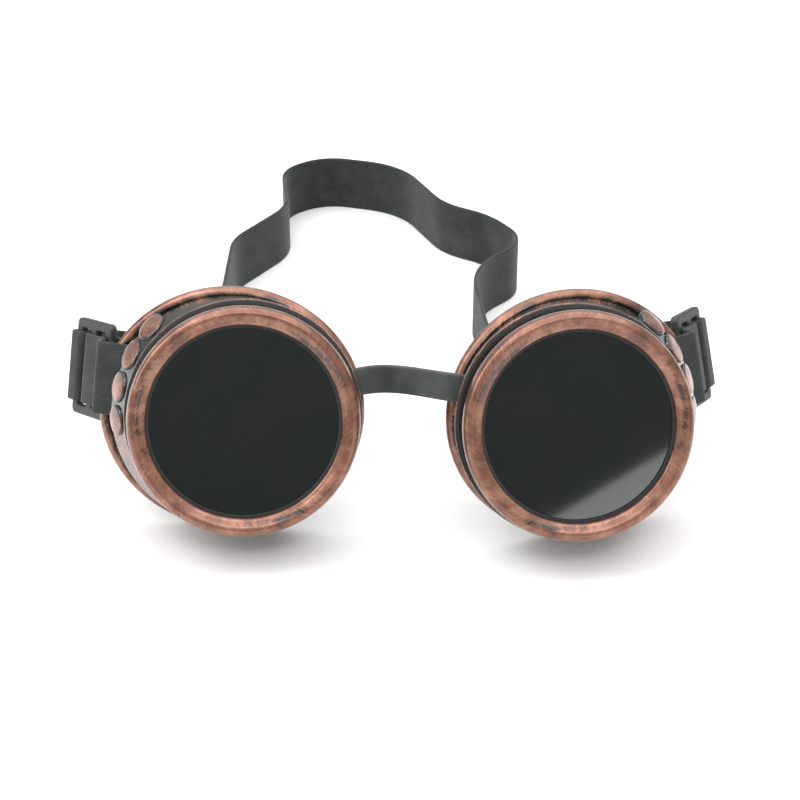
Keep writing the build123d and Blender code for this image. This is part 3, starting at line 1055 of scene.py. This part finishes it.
def sewn_fold(side):
    """The sewn end of the webbing, wrapped on the buckle's middle bar."""
    on_buckle = beside_buckle(-BAR_PITCH + 0.6, LAYER)
    route = [
        FOLD_START,
        (RIM_PASS_R, -33.4),
        on_buckle,
        beside_buckle(BAR_SIDE, LAYER),
        beside_buckle(BAR_SIDE, -LAYER),
        beside_buckle(-BAR_SIDE + 0.2, -LAYER),
        beside_buckle(-BAR_SIDE - 1.0, FOLD_END_OFF),
        beside_buckle(-BAR_SIDE - 3.2, FOLD_END_OFF),
    ]
    fold = cup_strap(side + "_sewn_fold", side, route, FOLD_BEND)
    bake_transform(fold)
    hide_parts(side + "_strap_fold")


def adjustable_run(side):
    """The run from the slot to the buckle and over its outer bar."""
    route = [
        LEAD_START,
        (32.4, -36.52),
        beside_buckle(3.8, -OUTER_LAYER),
        beside_buckle(4.5, LAYER),
        beside_buckle(AROUND, LAYER),
        beside_buckle(AROUND, LEAD_END),
    ]
    lead = cup_strap(side + "_adjustable_run", side, route, LEAD_BEND)
    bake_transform(lead)
    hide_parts(side + "_strap_lead")


def tube(bm, centres, outline):
    """Closed tube of verts round each centre; outline holds (across, outward) offsets."""
    loops = []
    for p in centres:
        loops.append([bm.verts.new(p + Vector((0, u, v))) for u, v in outline])
    for here, there in zip(loops, loops[1:]):
        for k in range(len(outline)):
            bm.faces.new((here[k - 1], here[k], there[k], there[k - 1]))
    bm.faces.new(loops[0][::-1])
    bm.faces.new(loops[-1])


def stitches(side):
    """Bar tack: short parallel stitches across the sewn end, seen in the inner window."""
    bm = bmesh.new()
    below = FOLD_END_OFF - (STRAP_T + 0.3) / 2
    turns = [k * math.pi / 4 for k in range(8)]
    outline = [(THREAD_THICK_R * math.cos(a), THREAD_THICK_R * math.sin(a)) for a in turns]
    for i in range(STITCHES):
        y = STITCH_FIRST_Y + STITCH_PITCH * i
        lean = STITCH_LEAN * (1 if i % 2 else -1)
        start = Vector((-BAR_SIDE - 1.8, y - lean, below))
        end = Vector((-BAR_SIDE - 3.0, y + lean, below))
        route = resample([start, end], 0.12)
        last = len(route) - 1
        for k, p in enumerate(route):
            bow = STITCH_BOW * (1 - (2 * k / last - 1) ** 2)
            p.z += 0.1 - bow
        tube(bm, route, outline)
    obj = finish_mesh(side + "_bar_tack", bm, buckle_frame(side), THREAD)
    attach(obj, side + "_adjuster")
    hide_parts(side + "_tack_stitch")


def turned_end(side, foot, heading):
    """Centres and widths from the buckle down to the band standing at foot, in mm."""
    place = Matrix.Diagonal((1000, 1000, 1000, 1)) @ CUP[side]
    top = place @ side_point(*beside_buckle(AROUND, LEAD_END))
    above = place @ side_point(*beside_buckle(AROUND, LAYER))
    wide = (place.to_3x3() @ STRAP_ACROSS).normalized()
    run, heading = (top - above).normalized(), heading.normalized()
    reach = (foot - top).length
    controls = (top, top + run * (0.28 * reach), foot - heading * (0.5 * reach), foot)
    points, widths = [], []
    for i in range(CURVE_STEPS + 1):
        t = i / CURVE_STEPS
        points.append(bezier(controls, t))
        turn = ease(t, 0.0, 1.0)
        widths.append(wide * (1 - turn) + Vector((0, 0, 1)) * turn)
    return points, widths


def index_at(points, length):
    """The first point that lies at least a length along a route, and how far it is."""
    far = 0.0
    index = 0
    while far < length:
        far += (points[index + 1] - points[index]).length
        index += 1
    return index, far


def headband_side(side, points, widths):
    """One side of the headband: the part that follows the buckle, then the slack part."""
    scale = Matrix.Scale(MM, 4)
    size = (STRAP_W, STRAP_T)
    seam, far = index_at(points, LEAD_TAIL)
    above, below = slice(seam + 1), slice(seam, None)
    name = side + "_strap_below_buckle"
    tail = ribbon(name, points[above], widths[above], size, scale, ELASTIC)
    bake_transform(tail)
    name = side + "_headband_half"
    rest = ribbon(name, points[below], widths[below], size, scale, ELASTIC, start_run=far)
    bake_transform(rest)
    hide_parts("headband")


def headband():
    """The elastic from buckle to buckle, standing on its edge behind the cups."""
    mid = (CUP["left"].translation + CUP["right"].translation) / 2 / MM
    route = [Vector((x + mid.x, y + mid.y, STRAP_W / 2)) for x, y in BAND_ROUTE]
    standing = resample(rounded_route(route, widest_bends(route), 16), 1.5)
    headings = {"left": route[1] - route[0], "right": route[-2] - route[-1]}
    feet = {"left": standing[0], "right": standing[-1]}
    middle = len(standing) // 2
    halves = {"left": standing[1 : middle + 1], "right": standing[middle:-1][::-1]}
    for side in SIDES:
        points, widths = turned_end(side, feet[side], headings[side])
        points = points + halves[side]
        widths = widths + [Vector((0, 0, 1))] * len(halves[side])
        headband_side(side, points, widths)


# ---------------------------------------------------------------- nose band
def band_point(side, distance):
    """A point of the nose band at a distance towards the nose from the cup's wall, in mm."""
    run = band_run(side)
    return (CUP[side] @ Vector((BAND_X, BAND_Y[side], BAND_Z))) / MM + run * distance


def band_run(side):
    local = Vector((-math.cos(BAND_RISE[side]), math.sin(BAND_RISE[side]), 0))
    return (CUP[side].to_3x3() @ local).normalized()


def nose_band():
    """Vinyl band arching between the cups, straight where it passes into each of them."""
    upward = (CUP["left"].to_3x3() @ Vector((0, 1, 0))).normalized()
    ends = {side: band_point(side, 2.2) for side in SIDES}
    span = (ends["right"] - ends["left"]).length
    controls = (
        ends["left"],
        ends["left"] + band_run("left") * (span / 3),
        ends["right"] + band_run("right") * (span / 3),
        ends["right"],
    )
    points = [band_point("left", -BAND_TAB + i) for i in range(10)]
    points += [bezier(controls, i / BAND_STEPS) for i in range(BAND_STEPS + 1)]
    points += [band_point("right", 1.9 - i) for i in range(1, 11)]
    scale = Matrix.Scale(MM, 4)
    widths = [upward] * len(points)
    band = ribbon("nose_strap", points, widths, (BAND_W, BAND_T), scale, VINYL, ribs=0)
    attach(band, "harness")
    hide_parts("nose_band")


def band_stud(side):
    """Snap stud that holds the band's end inside the cup."""
    half = BAND_T / 2
    cap = [
        (0.0, half + 0.95),
        (1.2, half + 0.9),
        (1.95, half + 0.72),
        (2.3, half + 0.4),
        (2.4, half + 0.12),
        (2.3, half),
        (1.0, half),
    ]
    profile = cap + [(r, -z) for r, z in reversed(cap)]
    bm = lathe(lambda a: profile, 48, closed=False)
    place = Matrix.Translation(band_point(side, -STUD_INSET) * MM) @ CUP[side].to_3x3().to_4x4()
    obj = finish_mesh(side + "_snap_stud", bm, place, STUD, 35)
    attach(obj, "harness")
    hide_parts(side + "_band_stud")


for side in SIDES:
    lens_ring(side)
    lens_stack(side)
    eye_cup(side)
    side_discs(side)
    buckle(side)
    slot_loop(side)
    sewn_fold(side)
    adjustable_run(side)
    stitches(side)
    band_stud(side)
headband()
nose_band()


# ---------------------------------------------------------------- floor, light, camera
def floor():
    mesh = bpy.data.meshes.new("floor")
    bm = bmesh.new()
    bmesh.ops.create_grid(bm, x_segments=1, y_segments=1, size=3.0)
    bm.to_mesh(mesh)
    bm.free()
    obj = bpy.data.objects.new("floor", mesh)
    bpy.context.scene.collection.objects.link(obj)
    g = Graph("floor_white")
    g.set(Base_Color=(0.86, 0.86, 0.86, 1.0), Roughness=0.9, Specular_IOR_Level=0.1)
    mesh.materials.append(g.material)


def area_light(name, place, aim, size, power, roll=0.0):
    data = bpy.data.lights.new(name, "AREA")
    data.shape = "RECTANGLE"
    data.size, data.size_y = size
    data.energy = power
    obj = bpy.data.objects.new(name, data)
    obj.location = place
    facing = (Vector(aim) - Vector(place)).to_track_quat("-Z", "Y").to_matrix()
    obj.rotation_euler = (facing @ Matrix.Rotation(roll, 3, "Z")).to_euler()
    bpy.context.scene.collection.objects.link(obj)


def pale_world():
    """Room light: white above, pale grey at eye level and below."""
    world = bpy.data.worlds.new("studio")
    world.use_nodes = True
    tree = world.node_tree
    coords = tree.nodes.new("ShaderNodeTexCoord")
    split = tree.nodes.new("ShaderNodeSeparateXYZ")
    ramp = tree.nodes.new("ShaderNodeValToRGB")
    tree.links.new(coords.outputs["Generated"], split.inputs[0])
    tree.links.new(split.outputs[2], ramp.inputs[0])
    tree.links.new(ramp.outputs[0], tree.nodes["Background"].inputs[0])
    low, high = ramp.color_ramp.elements
    low.position, low.color = 0.15, (0.46, 0.48, 0.48, 1.0)
    high.position, high.color = 0.55, (1.0, 1.0, 1.0, 1.0)
    bpy.context.scene.world = world


def studio():
    """Soft key above, two strips, and a low card that the right-hand lens mirrors."""
    pale_world()
    middle = (CUP["left"].translation + CUP["right"].translation) / 2
    area_light("top_softbox", middle + Vector((0.0, 0.2, 1.1)), middle, (2.0, 2.0), 20.0)
    area_light("left_strip", middle + Vector((-0.75, -0.1, 0.65)), middle, (0.25, 0.9), 4.0)
    area_light("front_strip", middle + Vector((0.15, -0.8, 0.95)), middle, (0.9, 0.2), 3.0)
    right_lens = CUP["right"].translation
    card_place = middle + Vector((0.363, -0.9, 0.091))
    area_light("low_card", card_place, right_lens, (0.2, 0.08), 0.24, math.radians(25.4))
    bpy.context.scene.view_settings.view_transform = "Standard"
    return middle


def camera(middle):
    data = bpy.data.cameras.new("camera")
    data.lens = FOCAL_MM
    data.sensor_width = SENSOR_MM
    obj = bpy.data.objects.new("camera", data)
    obj.location = middle + CAMERA_PLACE * MM
    obj.rotation_euler = (CAMERA_TILT, 0, 0)
    bpy.context.scene.collection.objects.link(obj)
    bpy.context.scene.camera = obj


floor()
camera(studio())
